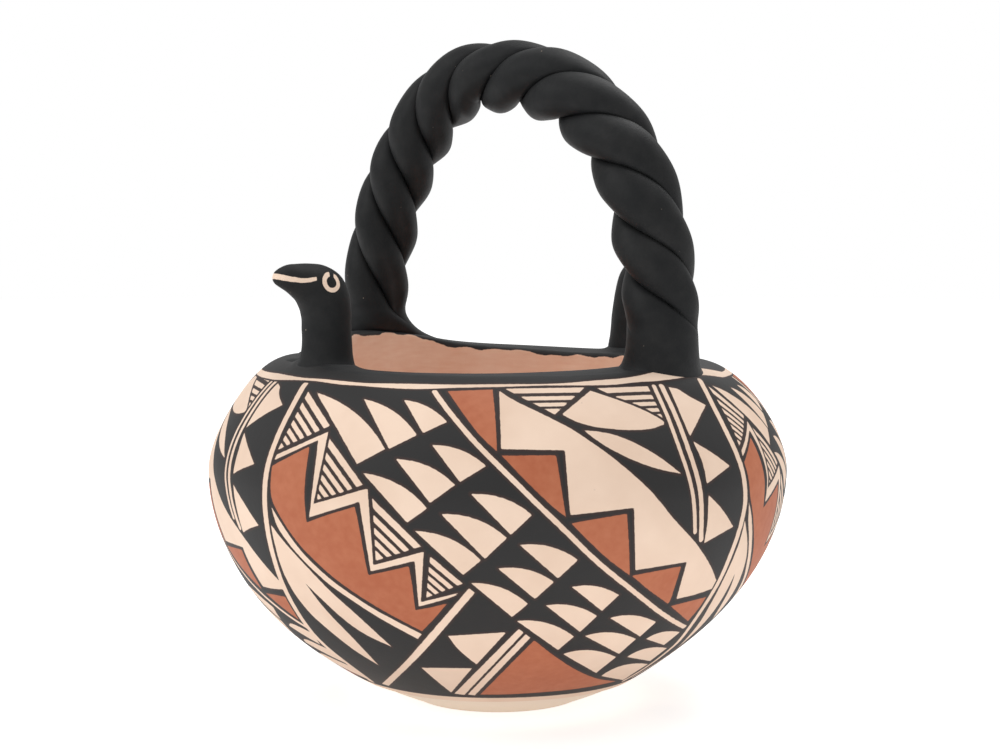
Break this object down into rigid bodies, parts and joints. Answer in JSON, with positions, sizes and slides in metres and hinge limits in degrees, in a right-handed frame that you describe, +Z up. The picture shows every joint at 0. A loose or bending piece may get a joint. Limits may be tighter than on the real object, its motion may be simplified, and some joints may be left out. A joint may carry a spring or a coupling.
{
  "type": "pottery effigy basket",
  "caption": "Squat painted pottery jar with a wide mouth, an arched handle of three twisted clay strands, a bird's head on the shoulder and a tail opposite.",
  "frame": {"origin": "centre of the flat base, on the surface it stands on", "axes": "+Z up through the mouth, +X along the handle's span toward its front foot, -Y toward the bird's head"},
  "size_m": [0.164, 0.164, 0.1867],
  "materials": {
    "painted_slip": "stone-polished cream slip with black and orange mineral paint, unglazed",
    "charcoal_slip": "matt charcoal-black mineral slip, unglazed"
  },
  "bodies": {
    "root": {"vessel_body": "painted_slip", "lip_coil": "charcoal_slip", "handle_strand_1": "charcoal_slip", "handle_strand_2": "charcoal_slip", "handle_strand_3": "charcoal_slip", "handle_foot_front": "charcoal_slip", "handle_foot_back": "charcoal_slip", "effigy_head": "charcoal_slip", "effigy_tail": "charcoal_slip"}
  },
  "joints": []
}
